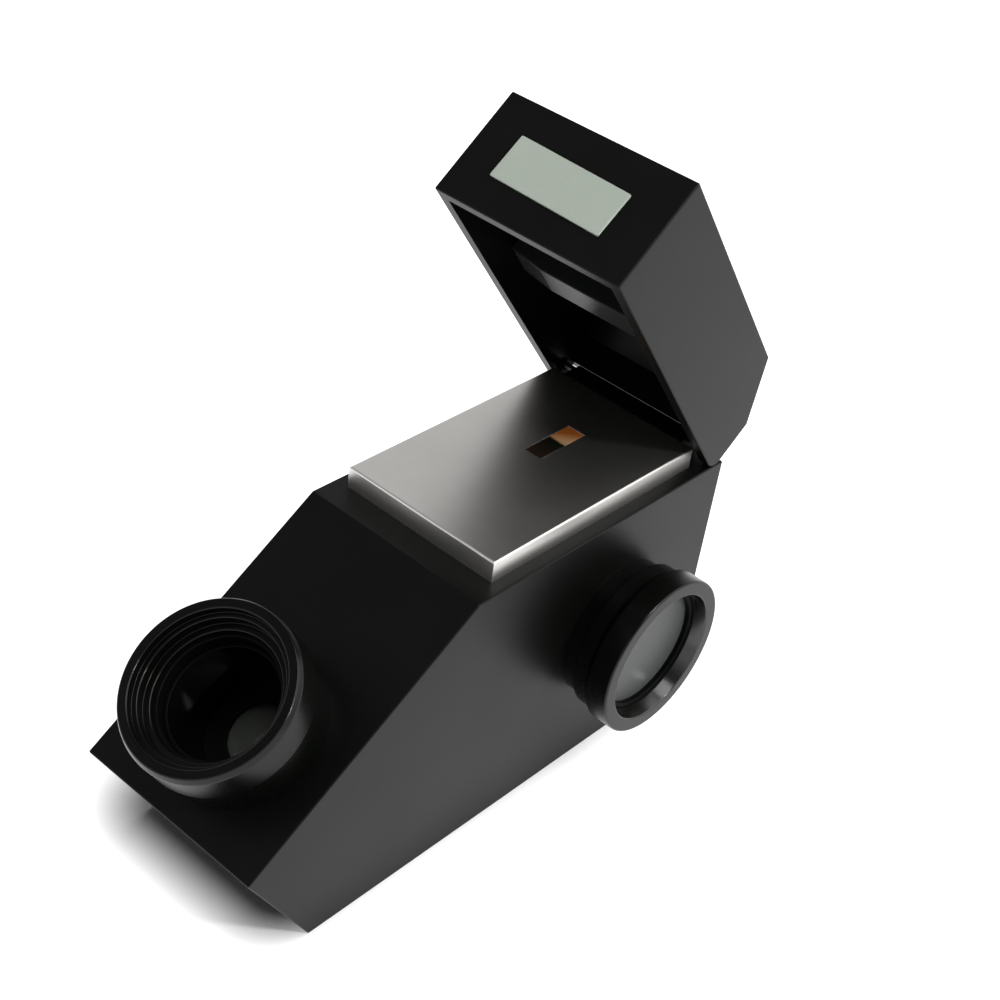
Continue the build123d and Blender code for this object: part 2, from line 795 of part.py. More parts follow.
# Bracket on the left wall that carries the light mirror at 45 degrees
light_corner_z = port_height - light_mirror_run / 2 + mirror_thickness * (1 - 2**0.5) / 2
wedge_top_z = light_corner_z + light_mirror_run
web_run = light_mirror_run - light_bracket_web * (2 + 2**0.5)
wedge_shift = inner_half - light_mirror_run / 2
with BuildPart() as light_bracket:
    with BuildSketch(Plane.XZ):
        with BuildLine():
            Polyline(
                (-inner_half, light_corner_z - wedge_shift), (-inner_half, wedge_top_z),
                (light_mirror_run - inner_half, light_corner_z),
                (light_mirror_run - inner_half, light_corner_z - light_bracket_web),
                (light_bracket_web - inner_half, light_corner_z - light_bracket_web),
                (light_bracket_web - inner_half, light_corner_z - wedge_shift),
                close=True,
            )
        make_face()
        with BuildLine():
            Polyline(
                (light_bracket_web - inner_half, light_corner_z),
                (light_bracket_web - inner_half, light_corner_z + web_run),
                (light_bracket_web - inner_half + web_run, light_corner_z),
                close=True,
            )
        make_face(mode=Mode.SUBTRACT)
    extrude(amount=light_mirror_width / 2, both=True)
    holes(
        left_wall_inside, light_screw_points, small_screw_radius + shank_gap, light_bracket_web
    )
light_bracket.part.label = "light_bracket"
export_step(light_bracket.part, "parts/light_bracket.step")

# Screws that hold the light mirror's bracket to the left wall
with BuildPart() as light_bracket_screws:
    pan_screws(
        left_wall_inside, light_screw_points, small_screw_radius, small_screw_head,
        light_bracket_web + wall - blind_end - screw_end_gap,
    )
light_bracket_screws.part.label = "light_bracket_screws"
export_step(light_bracket_screws.part, "parts/light_bracket_screws.step")

# Mirror that turns the light up to the prism
light_mirror_mid = light_mirror_run / 2
light_mirror_plane = Plane(
    origin=(light_mirror_mid - inner_half, 0, light_corner_z + light_mirror_mid),
    x_dir=(0, 1, 0), z_dir=(1, 0, 1),
)
with BuildPart() as light_mirror:
    with BuildSketch(light_mirror_plane):
        Rectangle(light_mirror_width, light_mirror_run * 2**0.5 - 4 * mirror_thickness)
    extrude(amount=mirror_thickness)
light_mirror.part.label = "light_mirror"
export_step(light_mirror.part, "parts/light_mirror.step")

# Mirror that turns the view from the relay tube up into the eyepiece
with BuildPart() as view_mirror:
    with BuildSketch(view_plane):
        Rectangle(view_mirror_width, view_mirror_length)
    extrude(amount=-mirror_thickness)
view_mirror.part.label = "view_mirror"
export_step(view_mirror.part, "parts/view_mirror.step")

# Wedge on the base plate that carries the viewing mirror
mirror_back = view_point - view_normal * mirror_thickness
tilt = -view_normal.Y / view_normal.Z
bracket_points = [
    (bracket_y + step, mirror_back.Z + (bracket_y + step - mirror_back.Y) * tilt)
    for step in (-view_bracket_length / 2, view_bracket_length / 2)
]
with BuildPart() as view_bracket:
    with BuildSketch(Plane.YZ):
        with BuildLine():
            Polyline(
                bracket_points[0], bracket_points[1],
                (bracket_points[1][0], base_thickness), (bracket_points[0][0], base_thickness),
                close=True,
            )
        make_face()
    extrude(amount=view_bracket_width / 2, both=True)
    holes(
        Plane.XY.offset(base_thickness), bracket_screw_points,
        base_screw_radius + thread_fit, inner_screw_bite + screw_end_gap,
    )
view_bracket.part.label = "view_bracket"
export_step(view_bracket.part, "parts/view_bracket.step")

# Bulkhead that holds the relay tube and keeps stray light out of the viewing end
with BuildPart() as bulkhead:
    with BuildSketch(Plane.YZ):
        with BuildLine():
            Polyline(*outline(base_thickness - wall - bulkhead_side_gap), close=True)
        make_face()
        offset(amount=-wall - bulkhead_side_gap, kind=Kind.INTERSECTION)
        with Locations((bulkhead_y, base_thickness)):
            Rectangle(
                bulkhead_thickness, ceiling - base_thickness - bulkhead_top_gap,
                align=(Align.CENTER, Align.MIN), mode=Mode.INTERSECT,
            )
    extrude(amount=opening_half - bulkhead_side_gap, both=True)
    turn(
        [
            (0, relay_start), (relay_radius + thread_fit, relay_start),
            (relay_radius + thread_fit, relay_end), (0, relay_end),
        ],
        relay_section, relay_axis, mode=Mode.SUBTRACT,
    )
    holes(
        Plane.XY.offset(base_thickness), bulkhead_screw_points,
        base_screw_radius + thread_fit, inner_screw_bite + screw_end_gap,
    )
bulkhead.part.label = "bulkhead"
export_step(bulkhead.part, "parts/bulkhead.step")

# Screws through the base plate into the mirror's wedge and the bulkhead
with BuildPart() as inner_screws:
    countersunk_screws(
        Plane.XY.offset(head_sink), inner_screw_points, base_screw_radius, base_screw_head,
        base_thickness + inner_screw_bite - head_sink,
    )
inner_screws.part.label = "inner_screws"
export_step(inner_screws.part, "parts/inner_screws.step")

# Relay tube between the prism and the viewing mirror
reticle_seat = relay_start + reticle_inset
objective_seat = relay_end - objective_inset
step_bore = relay_bore - relay_step
with BuildPart() as relay_tube:
    turn(
        [
            (relay_bore, relay_start), (relay_radius, relay_start), (relay_radius, relay_end),
            (relay_bore, relay_end), (relay_bore, objective_seat - objective_edge),
            (step_bore, objective_seat - objective_edge),
            (step_bore, reticle_seat + reticle_thickness),
            (relay_bore, reticle_seat + reticle_thickness),
        ],
        relay_section, relay_axis,
    )
relay_tube.part.label = "relay_tube"
export_step(relay_tube.part, "parts/relay_tube.step")

# Glass reticle with the scale, at the eyepiece's focus
with BuildPart() as scale_reticle:
    turn(
        [
            (0, reticle_seat), (relay_bore - thread_fit, reticle_seat),
            (relay_bore - thread_fit, reticle_seat + reticle_thickness),
            (0, reticle_seat + reticle_thickness),
        ],
        relay_section, relay_axis,
    )
scale_reticle.part.label = "scale_reticle"
export_step(scale_reticle.part, "parts/scale_reticle.step")

# Objective lens at the prism's end of the relay tube
with BuildPart() as objective_lens:
    turn_lens(
        relay_bore - thread_fit, objective_seat - objective_edge, objective_seat,
        0, objective_bulge, relay_section, relay_axis,
    )
objective_lens.part.label = "objective_lens"
export_step(objective_lens.part, "parts/objective_lens.step")
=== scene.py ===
import json
from math import cos, pi, radians, sin, sqrt, tan

import bmesh
import bpy
from mathutils import Matrix, Vector


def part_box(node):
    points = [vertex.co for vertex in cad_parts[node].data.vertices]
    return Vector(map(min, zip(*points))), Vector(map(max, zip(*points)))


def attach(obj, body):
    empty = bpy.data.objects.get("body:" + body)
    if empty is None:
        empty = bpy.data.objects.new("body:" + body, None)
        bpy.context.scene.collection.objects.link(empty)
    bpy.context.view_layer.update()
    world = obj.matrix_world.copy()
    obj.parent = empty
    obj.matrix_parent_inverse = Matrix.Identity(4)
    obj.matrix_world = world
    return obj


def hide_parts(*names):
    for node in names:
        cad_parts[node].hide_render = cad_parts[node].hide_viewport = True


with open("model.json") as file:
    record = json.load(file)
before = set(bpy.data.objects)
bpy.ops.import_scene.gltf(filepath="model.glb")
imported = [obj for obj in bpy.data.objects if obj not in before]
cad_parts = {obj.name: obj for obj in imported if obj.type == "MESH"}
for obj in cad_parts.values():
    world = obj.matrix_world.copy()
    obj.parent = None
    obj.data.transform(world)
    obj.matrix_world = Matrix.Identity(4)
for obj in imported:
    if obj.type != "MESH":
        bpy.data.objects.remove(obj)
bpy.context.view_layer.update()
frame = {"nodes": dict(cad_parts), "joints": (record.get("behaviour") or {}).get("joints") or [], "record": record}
nodes = frame["nodes"]
joints = {joint["name"]: joint for joint in frame["joints"]}
mounts = {mount["name"]: mount for mount in frame["record"]["mounts"]}
MM = 0.001

# Eyepiece, millimetres: radii, and heights along its axis from the slope
collar_radius, collar_top = 12.0, 6.5
neck_radius, neck_top = 10.5, 8.7
spigot_radius, spigot_end = 10.0, -8.0
tube_bore = 8.5
groove_low, groove_high, groove_depth = 7.5, 8.2, 0.5
ring_radius = mounts["eyepiece_rim"]["dims"]["r_mm"]
ring_low, ring_top = 6.6, 12.5
ring_face_radius, ring_edge_drop = 12.3, 0.9
ring_inner, ring_shelf = 10.55, 8.8
mouth_radius, mouth_floor = 10.9, 11.2
step_radius, step_floor = 10.1, 9.6
ring_bore = 9.03
cell_radius, cell_bore = 8.45, 7.85
cell_low, cell_top = -8.5, 7.0
lens_radius, lens_low, lens_high, lens_bulge = 7.83, -7.5, -6.1, 1.0
shoulder_bore = 6.65
retainer_bore, retainer_top = 4.63, -4.5

# Light port, millimetres: radii, and places across the body
port_lip = mounts["light_port_lip"]
port_tube_radius, port_step_radius = 11.1, 11.9
port_lip_radius = port_lip["dims"]["r_mm"]
port_spigot_radius, port_spigot_bore = 8.5, 7.5
port_mouth_radius, port_bore = 10.46, 9.9
spigot_x, wall_x, step_x, step_end_x = 11.2, 16.0, 18.6, 21.0
lip_length = port_lip["dims"]["length_mm"]
lip_x = port_lip["pos_m"][0] / MM - lip_length / 2
lip_end_x, mouth_x = lip_x + lip_length, 23.6
glass_x, glass_end_x = 21.3, 22.5
port_ring_bore, port_ring_x = 9.18, 23.3

# Lid, millimetres: s runs along it from the pivot, t away from its rim
lid_front_s = -51.6
label_width, label_height, label_thickness, label_t = 19.1, 7.0, 0.3, 6.1
label_x, label_tilt = -0.45, radians(-1.6)
baffle_from_front, baffle_depth = 20.0, 6.1
baffle_foot, baffle_half = 8.0, 14.1
baffle_low_t, baffle_side_t, baffle_top_t = 1.4, 2.2, 13.2
pin_radius, pin_half = 0.6, 15.4

# Stage plate and prism, millimetres; the prism's painted light and painted shade change along Y, and its painted
# glow leans with X
plate_edge = 0.28
window_edge, window_corner = 0.1, 0.05
prism_radius, prism_half_width, prism_gap = 4.8, 1.5, 0.05
painted_light_start, painted_light_full, painted_light_drift = 0.3, 0.8, 0.12
painted_glow_start, painted_glow_end, painted_glow_lean = 0.4, 3.6, -0.8
painted_shade_start, painted_shade_end = -4.6, 0.2

# Finishes: the width of a rubbed edge in millimetres, and spots of noise per metre
rubbed_edge = 0.22
blotch_scale, rub_scale, smear_scale, cloud_scale, fibre_scale = 85.0, 420.0, 260.0, 420.0, 900.0

# A turned edge's faces, by how far they tilt from the wall towards the flat end
edge_tilt_low, edge_tilt_high = 0.15, 0.985

# Shading stays flat up to this far from a rounding, millimetres
hold = 0.03

# Floor, millimetres: where its painted light is held back, a painted shadow round the base plate: its dark core,
# its end, and how far it draws in at the port's side
floor_half_size = 1600.0
painted_shadow_core, painted_shadow_reach, painted_shadow_shift, painted_shadow_curve = 4.0, 12.7, 7.0, 1.4

# World: its strength low down and overhead, what is left of it in front and at the left for the
# light that falls on things, and between which directions (0 level or middle, 1 far) each changes
horizon_light, overhead_light = 1.08, 0.10
front_share, left_share = 0.12, 0.25
dim_from, dim_full = 0.42, 0.83
side_from, side_full = -0.10, -0.65

# Camera, fitted to the photo: its place in millimetres, and its angles
camera_place = (131.281, -184.536, 196.877)
azimuth, elevation, roll = radians(37.09), radians(35.50), radians(8.95)
lens_length, sensor_width = 67.25, 36.0

# Where the lamps point, metres
aim = (0, 0, 0.03)


# Places

def frame_at(origin, x_axis, z_axis):
    """A matrix from local metres to the row frame, with its z axis along z_axis."""
    z = Vector(z_axis).normalized()
    x = Vector(x_axis).normalized()
    y = z.cross(x)
    matrix = Matrix((x, y, z)).transposed().to_4x4()
    matrix.translation = Vector(origin)
    return matrix


eye = frame_at(joints["focus_turn"]["pos_m"], (1, 0, 0), joints["focus_turn"]["axis"])
port = frame_at((0, *port_lip["pos_m"][1:]), (0, 1, 0), (1, 0, 0))
pivot = Vector(joints["lid_hinge"]["pos_m"])
opened = radians(joints["lid_hinge"]["range_deg"][1])
along = Vector((0, cos(opened), -sin(opened)))
away = Vector((0, sin(opened), cos(opened)))


def lid_at(s, t):
    """A place in the lid's middle plane, in metres."""
    return pivot + (along * s + away * t) * MM


# Materials

def new_material(name):
    material = bpy.data.materials.new(name)
    material.use_nodes = True
    tree = material.node_tree
    return material, tree, tree.nodes["Principled BSDF"]


def noise(tree, coords, scale, detail=2.0, rough=0.5):
    node = tree.nodes.new("ShaderNodeTexNoise")
    node.inputs["Scale"].default_value = scale
    node.inputs["Detail"].default_value = detail
    node.inputs["Roughness"].default_value = rough
    tree.links.new(coords, node.inputs["Vector"])
    return node.outputs["Fac"]


def remap(tree, value, low, high, to_low, to_high):
    node = tree.nodes.new("ShaderNodeMapRange")
    node.inputs["From Min"].default_value = low
    node.inputs["From Max"].default_value = high
    node.inputs["To Min"].default_value = to_low
    node.inputs["To Max"].default_value = to_high
    tree.links.new(value, node.inputs["Value"])
    return node.outputs["Result"]


def feed(tree, value, socket):
    """Links another node's output to a socket, or sets the socket to a plain value."""
    if isinstance(value, bpy.types.NodeSocket):
        tree.links.new(value, socket)
    else:
        socket.default_value = value


def combine(tree, op, a, b):
    node = tree.nodes.new("ShaderNodeMath")
    node.operation = op
    feed(tree, a, node.inputs[0])
    feed(tree, b, node.inputs[1])
    return node.outputs["Value"]


def vector_step(tree, op, a, b=None):
    node = tree.nodes.new("ShaderNodeVectorMath")
    node.operation = op
    feed(tree, a, node.inputs[0])
    if b is not None:
        feed(tree, b, node.inputs[1])
    return node.outputs["Value" if op in ("LENGTH", "DOT_PRODUCT") else "Vector"]


def blend_colours(tree, fac, a, b):
    node = tree.nodes.new("ShaderNodeMix")
    node.data_type = "RGBA"
    tree.links.new(fac, node.inputs["Factor"])
    for socket, value in ((node.inputs[6], a), (node.inputs[7], b)):
        feed(tree, (*value, 1) if isinstance(value, tuple) else value, socket)
    return node.outputs[2]


def edge_mask(tree, radius, low=0.03, high=0.25):
    """Near 1 on edges that the real part's handling would rub bare."""
    bevel = tree.nodes.new("ShaderNodeBevel")
    bevel.samples = 6
    bevel.inputs["Radius"].default_value = radius
    own_normal = tree.nodes.new("ShaderNodeNewGeometry").outputs["Normal"]
    dot = vector_step(tree, "DOT_PRODUCT", bevel.outputs["Normal"], own_normal)
    return remap(tree, combine(tree, "SUBTRACT", 1.0, dot), low, high, 0, 1)


def surface(name, colour, rough, metal=0.0, grain=8000.0, grain_depth=0.0015, vary=0.10,
            rough_vary=0.04, wear=None, wear_amount=0.5, specular=0.5):
    """A finish with grain, colour and roughness variation and worn edges."""
    material, tree, bsdf = new_material(name)
    coords = tree.nodes.new("ShaderNodeTexCoord").outputs["Object"]
    fine = noise(tree, coords, grain, 3.0, 0.6)
    broad = noise(tree, coords, blotch_scale, 3.0, 0.55)
    low = tuple(c * (1 - vary) for c in colour)
    high = tuple(min(1.0, c * (1 + vary)) for c in colour)
    mixed = combine(tree, "MULTIPLY", combine(tree, "ADD", fine, broad), 0.5)
    tint = blend_colours(tree, remap(tree, mixed, 0.35, 0.65, 0, 1), low, high)
    if wear:
        patches = noise(tree, coords, rub_scale, 4.0, 0.7)
        bare = remap(tree, patches, 0.42, 0.66, 0.0, wear_amount)
        rub = combine(tree, "MULTIPLY", edge_mask(tree, rubbed_edge * MM), bare)
        tint = blend_colours(tree, rub, tint, wear)
    tree.links.new(tint, bsdf.inputs["Base Color"])
    dulled = remap(tree, mixed, 0.3, 0.7, rough - rough_vary, rough + rough_vary)
    tree.links.new(dulled, bsdf.inputs["Roughness"])
    bump = tree.nodes.new("ShaderNodeBump")
    bump.inputs["Strength"].default_value = 1.0
    bump.inputs["Distance"].default_value = grain_depth * MM
    tree.links.new(fine, bump.inputs["Height"])
    tree.links.new(bump.outputs["Normal"], bsdf.inputs["Normal"])
    bsdf.inputs["Metallic"].default_value = metal
    bsdf.inputs["Specular IOR Level"].default_value = specular
    return material


def glass(name, colour, rough, clear):
    """Glass with faint smears; clear is the share of light that it lets through."""
    material, tree, bsdf = new_material(name)
    coords = tree.nodes.new("ShaderNodeTexCoord").outputs["Object"]
    smear = noise(tree, coords, smear_scale, 3.0, 0.6)
    darker = tuple(c * 0.9 for c in colour)
    tint = blend_colours(tree, remap(tree, smear, 0.3, 0.7, 0, 1), colour, darker)
    tree.links.new(tint, bsdf.inputs["Base Color"])
    dulled = remap(tree, smear, 0.3, 0.7, rough, rough + 0.05)
    tree.links.new(dulled, bsdf.inputs["Roughness"])
    bsdf.inputs["Transmission Weight"].default_value = clear
    bsdf.inputs["IOR"].default_value = 1.52
    return material


def prism_material():
    """Polished prism with painted light: a painted shade over its front part, and over its back part a painted
    amber glow that shines by itself though the prism is no lamp.
    """
    material, tree, bsdf = new_material("prism_glass_painted_light")
    coords = tree.nodes.new("ShaderNodeTexCoord").outputs["Object"]
    split = tree.nodes.new("ShaderNodeSeparateXYZ")
    tree.links.new(coords, split.inputs["Vector"])
    cloud = noise(tree, coords, cloud_scale, 3.0, 0.6)
    # Painted light and shade: along Y, the back part takes the lit amber of the light seen through the prism, and
    # the front part takes a painted shade.
    drift = remap(tree, cloud, 0.3, 0.7, -painted_light_drift * MM, painted_light_drift * MM)
    place = combine(tree, "ADD", split.outputs["Y"], drift)
    lit = remap(tree, place, painted_light_start * MM, painted_light_full * MM, 0, 1)
    across = combine(tree, "MULTIPLY", split.outputs["X"], painted_glow_lean)
    slanted = combine(tree, "ADD", place, across)
    glow = remap(tree, slanted, painted_glow_start * MM, painted_glow_end * MM, 0, 1)
    warm = blend_colours(tree, glow, (0.27, 0.165, 0.085), (0.25, 0.070, 0.010))
    painted_shade_fade = remap(tree, place, painted_shade_start * MM, painted_shade_end * MM, 0, 1)
    dark = blend_colours(tree, painted_shade_fade, (0.012, 0.007, 0.005), (0.0025, 0.0035, 0.0025))
    tint = blend_colours(tree, lit, dark, warm)
    tree.links.new(tint, bsdf.inputs["Base Color"])
    tree.links.new(remap(tree, cloud, 0.3, 0.7, 0.03, 0.08), bsdf.inputs["Roughness"])
    # The painted amber also shines by itself, a painted glow though the prism is no lamp.
    tree.links.new(tint, bsdf.inputs["Emission Color"])
    bsdf.inputs["Emission Strength"].default_value = 0.35
    bsdf.inputs["IOR"].default_value = 1.6
    return material


bare_edge = (0.04, 0.04, 0.038)
anodised = surface("anodised", (0.0018, 0.0022, 0.0017), 0.36, wear=bare_edge, specular=0.12)
base_black = surface("base_black", (0.0020, 0.0023, 0.0019), 0.42, wear=bare_edge, specular=0.12)
turned_black = surface(
    "turned_black", (0.0016, 0.0020, 0.0015), 0.26, wear=(0.05, 0.05, 0.045), specular=0.12,
)
inner_black = surface("inner_black", (0.0015, 0.0018, 0.0016), 0.50, specular=0.06)
burnished = surface(
    "burnished", (0.0020, 0.0024, 0.0019), 0.22, grain_depth=0.0004, specular=0.24,
)
mouth_black = surface(
    "mouth_black", (0.0040, 0.0046, 0.0036), 0.19, grain_depth=0.0006, specular=0.70,
)
tube_black = surface(
    "tube_black", (0.0014, 0.0017, 0.0015), 0.12, grain_depth=0.0002, rough_vary=0.02,
    specular=0.30,
)
satin_plastic = surface(
    "satin_plastic", (0.040, 0.042, 0.042), 0.24, grain_depth=0.0006, specular=0.05,
)
acetal = surface("acetal", (0.0020, 0.0022, 0.0020), 0.55, grain_depth=0.001, specular=0.05)
plate_metal = surface(
    "plate_metal", (0.62, 0.605, 0.585), 0.345, metal=1.0, grain=5200.0, grain_depth=0.008,
    vary=0.06, rough_vary=0.008, wear=(0.86, 0.86, 0.84), wear_amount=0.5,
)
steel = surface("steel", (0.56, 0.56, 0.55), 0.24, metal=1.0, grain=3000.0, grain_depth=0.002)
dark_steel = surface("dark_steel", (0.11, 0.11, 0.105), 0.36, metal=1.0, grain=3000.0)
label_film = surface(
    "label_film", (0.450, 0.503, 0.440), 0.42, grain=2600.0, grain_depth=0.0015, vary=0.035,
    specular=0.3,
)
frosted = surface(
    "frosted", (0.052, 0.056, 0.053), 0.42, grain_depth=0.0001, vary=0.06, specular=0.30,
)
amber = surface("amber", (0.70, 0.22, 0.01), 0.1, vary=0.05, grain_depth=0.0002)
silvered = surface(
    "silvered", (0.86, 0.87, 0.86), 0.05, metal=1.0, vary=0.01, rough_vary=0.02,
    grain_depth=0.0002,
)
lens_glass = glass("lens_glass", (0.92, 0.95, 0.93), 0.015, 1.0)
# The ocular lens is milky grey: painted light, standing in for the lit scale seen through it.
eye_glass_painted_light = glass("eye_glass_painted_light", (0.15, 0.165, 0.145), 0.03, 0.4)
prism_glass_painted_light = prism_material()


# Shapes

def rounded(outline, radius=0.15, steps=4):
    """Rounds each corner of a closed outline; a third value in a corner is its own radius.

    A point just past each end of a rounding keeps the shading of the straight runs flat."""
    nearly_straight, largest_share = 0.02, 0.45
    result = []
    count = len(outline)
    for i, corner in enumerate(outline):
        own = corner[2] if len(corner) > 2 else radius
        p = Vector(corner[:2])
        a = Vector(outline[i - 1][:2]) - p
        b = Vector(outline[(i + 1) % count][:2]) - p
        run_a, run_b = a.length, b.length
        a.normalize()
        b.normalize()
        turn = a.angle(b)
        if own <= 0 or turn > pi - nearly_straight:
            result.append(p)
            continue
        reach = min(own / tan(turn / 2), run_a * largest_share, run_b * largest_share)
        start, end = p + a * reach, p + b * reach
        if run_a > 4 * (reach + hold):
            result.append(start + a * hold)
        for k in range(steps + 1):
            t = k / steps
            result.append(start * (1 - t) ** 2 + p * 2 * t * (1 - t) + end * t * t)
        if run_b > 4 * (reach + hold):
            result.append(end + b * hold)
    return result


def finish_mesh(bm, name, material, place=None, smooth_angle=35):
    bmesh.ops.remove_doubles(bm, verts=bm.verts, dist=1e-7)
    bmesh.ops.recalc_face_normals(bm, faces=bm.faces)
    mesh = bpy.data.meshes.new(name)
    bm.to_mesh(mesh)
    bm.free()
    if place is not None:
        mesh.transform(place)
    mesh.polygons.foreach_set("use_smooth", [True] * len(mesh.polygons))
    mesh.set_sharp_from_angle(angle=radians(smooth_angle))
    mesh.materials.append(material)
    obj = bpy.data.objects.new(name, mesh)
    bpy.context.scene.collection.objects.link(obj)
    return obj


def join_rings(bm, rings, closed):
    """Faces between neighbouring rings of points; a ring of one point is a pole."""
    pairs = list(zip(rings, rings[1:]))
    if closed:
        pairs.append((rings[-1], rings[0]))
    for one, other in pairs:
        count = max(len(one), len(other))
        if count == 1:
            continue
        for k in range(count):
            j = (k + 1) % count
            corners = [one[k % len(one)], one[j % len(one)],
                       other[j % len(other)], other[k % len(other)]]
            bm.faces.new(list(dict.fromkeys(corners)))


def lathe(name, outline, place, material, segments=144, smooth_angle=35):
    """Turns a closed outline of (radius, height) in millimetres about the place's z axis."""
    bm = bmesh.new()
    rings = []
    for r, h in outline:
        turns = segments if r > 1e-6 else 1
        rings.append([
            bm.verts.new((r * MM * cos(2 * pi * k / turns), r * MM * sin(2 * pi * k / turns),
                          h * MM))
            for k in range(turns)
        ])
    join_rings(bm, rings, True)
    return finish_mesh(bm, name, material, place, smooth_angle)


def slab(name, outline, low, high, place, material, edge=0.2):
    """Raises a convex outline in millimetres from low to high, with rounded rims."""
    bm = bmesh.new()
    points = [Vector(p) for p in outline]
    count = len(points)
    middle = sum(points, Vector((0, 0))) / count
    quarter = [pi / 6 * k for k in range(4)]
    levels = [(low + edge * (1 - sin(a)), edge * (1 - cos(a))) for a in reversed(quarter)]
    levels = [(low, edge + hold)] + levels + [(low + edge + hold, 0.0)]
    levels += [(low + high - z, inset) for z, inset in reversed(levels)]
    rings = []
    for z, inset in levels:
        ring = []
        for i, p in enumerate(points):
            a = (points[i - 1] - p).normalized()
            b = (points[(i + 1) % count] - p).normalized()
            inward_a, inward_b = Vector((-a.y, a.x)), Vector((b.y, -b.x))
            if inward_a.dot(middle - p) < 0:
                inward_a = -inward_a
            if inward_b.dot(middle - p) < 0:
                inward_b = -inward_b
            both = inward_a + inward_b
            q = p + both * (inset / max(0.3, both.dot(inward_a)))
            ring.append(bm.verts.new((q.x * MM, q.y * MM, z * MM)))
        rings.append(ring)
    join_rings(bm, rings, False)
    bm.faces.new(rings[0])
    bm.faces.new(rings[-1])
    return finish_mesh(bm, name, material, place)


def rectangle(bm, low, high, inset, z, corner=0.12, steps=3):
    """One ring of a rectangle with rounded corners, set in by a distance, in millimetres."""
    x0, y0, x1, y1 = low.x + inset, low.y + inset, high.x - inset, high.y - inset
    centres = ((x1 - corner, y1 - corner), (x0 + corner, y1 - corner),
               (x0 + corner, y0 + corner), (x1 - corner, y0 + corner))
    ring = []
    for quarter, (x, y) in enumerate(centres):
        for k in range(steps + 1):
            a = pi / 2 * (quarter + k / steps)
            ring.append(bm.verts.new(
                Vector((x + corner * cos(a), y + corner * sin(a), z)) * MM
            ))
    return ring


def refinish(obj, material, place, chosen):
    """Gives another finish to the faces of a turned piece that chosen picks out.

    chosen gets a face's radius and height, in millimetres, and its tilt towards the axis."""
    obj.data.materials.append(material)
    index = len(obj.data.materials) - 1
    back, axis = place.inverted(), place.col[2].to_3d()
    for face in obj.data.polygons:
        x, y, z = back @ face.center / MM
        if chosen(sqrt(x * x + y * y), z, face.normal.dot(axis)):
            face.material_index = index


def turned_edge(tilt):
    """True on the rounding between a turned piece's wall and its flat end."""
    return edge_tilt_low < tilt < edge_tilt_high


def dress(obj, body, slot, *replaced):
    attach(obj, body)
    for node in replaced:
        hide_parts(node)


# Eyepiece

def focus_rim():
    """The cup that is turned to focus, stepped inside its mouth."""
    outline = rounded([
        (ring_inner, ring_low, 0.1), (ring_radius, ring_low, 0.3),
        (ring_radius, ring_top - ring_edge_drop, 0.8), (ring_face_radius, ring_top, 0.3),
        (mouth_radius, ring_top, 0.3), (mouth_radius, mouth_floor, 0.08),
        (step_radius, mouth_floor, 0.22), (step_radius, step_floor, 0.08),
        (ring_bore, step_floor, 0.22), (ring_bore, ring_shelf, 0.1),
        (ring_inner, ring_shelf, 0.05), (ring_inner, groove_high, 0.05),
        (ring_inner + groove_depth, groove_high, 0.05),
        (ring_inner + groove_depth, groove_low, 0.05), (ring_inner, groove_low, 0.05),
    ], steps=5)
    cup = lathe("focus_rim", outline, eye, turned_black, segments=192)
    refinish(cup, burnished, eye, lambda r, h, tilt: h > ring_shelf and turned_edge(tilt))
    dress(cup, "focus_ring", "black_anodised", "focus_ring")


def eye_collar():
    """The round foot on the slope and the neck that the cup turns on."""
    outline = rounded([
        (tube_bore, spigot_end, 0.1), (spigot_radius, spigot_end, 0.2),
        (spigot_radius, 0.0, 0.02), (collar_radius, 0.0, 0.02),
        (collar_radius, collar_top, 0.25), (neck_radius, collar_top, 0.05),
        (neck_radius, groove_low, 0.05), (neck_radius - groove_depth, groove_low, 0.05),
        (neck_radius - groove_depth, groove_high, 0.05), (neck_radius, groove_high, 0.05),
        (neck_radius, neck_top, 0.15), (tube_bore, neck_top, 0.15),
    ])
    collar = lathe("eye_collar", outline, eye, turned_black, segments=160)
    refinish(collar, inner_black, eye, lambda r, h, tilt: r < neck_radius + 0.02)
    dress(collar, "base", "black_anodised", "eyepiece_base")


def cell_tube():
    tube = rounded([
        (shoulder_bore, cell_low, 0.1), (cell_radius, cell_low, 0.1),
        (cell_radius, cell_top, 0.15), (cell_bore, cell_top, 0.12),
        (cell_bore, lens_low, 0.02), (shoulder_bore, lens_low, 0.1),
    ])
    cell = lathe("cell_tube", tube, eye, tube_black, segments=160)
    refinish(cell, inner_black, eye, lambda r, h, tilt: h > cell_top - 0.2)
    dress(cell, "lens_cell", "black_anodised", "lens_cell")


def cell_ring():
    """The ring that holds the lens in its tube."""
    ring = rounded([
        (retainer_bore, retainer_top, 0.15), (lens_radius, retainer_top, 0.05),
        (lens_radius, lens_high + 0.02, 0.0), (lens_radius - 0.02, lens_high + 0.02, 0.0),
        (retainer_bore, (lens_high + retainer_top) / 2, 0.1),
    ])
    dress(lathe("cell_ring", ring, eye, inner_black), "lens_cell", "black_anodised",
          "lens_retainer")


def ocular_lens():
    """The lens, flat below and domed above."""
    sphere = (lens_radius ** 2 + lens_bulge ** 2) / (2 * lens_bulge)
    centre = lens_high + lens_bulge - sphere
    lens = [(0.0, lens_low), (lens_radius - 0.1, lens_low), (lens_radius, lens_low + 0.1)]
    steps = 14
    for k in range(steps + 1):
        r = lens_radius * (1 - k / steps)
        lens.append((r, centre + sqrt(sphere ** 2 - r ** 2)))
    dress(lathe("ocular_lens", lens, eye, eye_glass_painted_light, segments=128, smooth_angle=25), "lens_cell",
          "optical_glass", "eye_lens")


# Light port

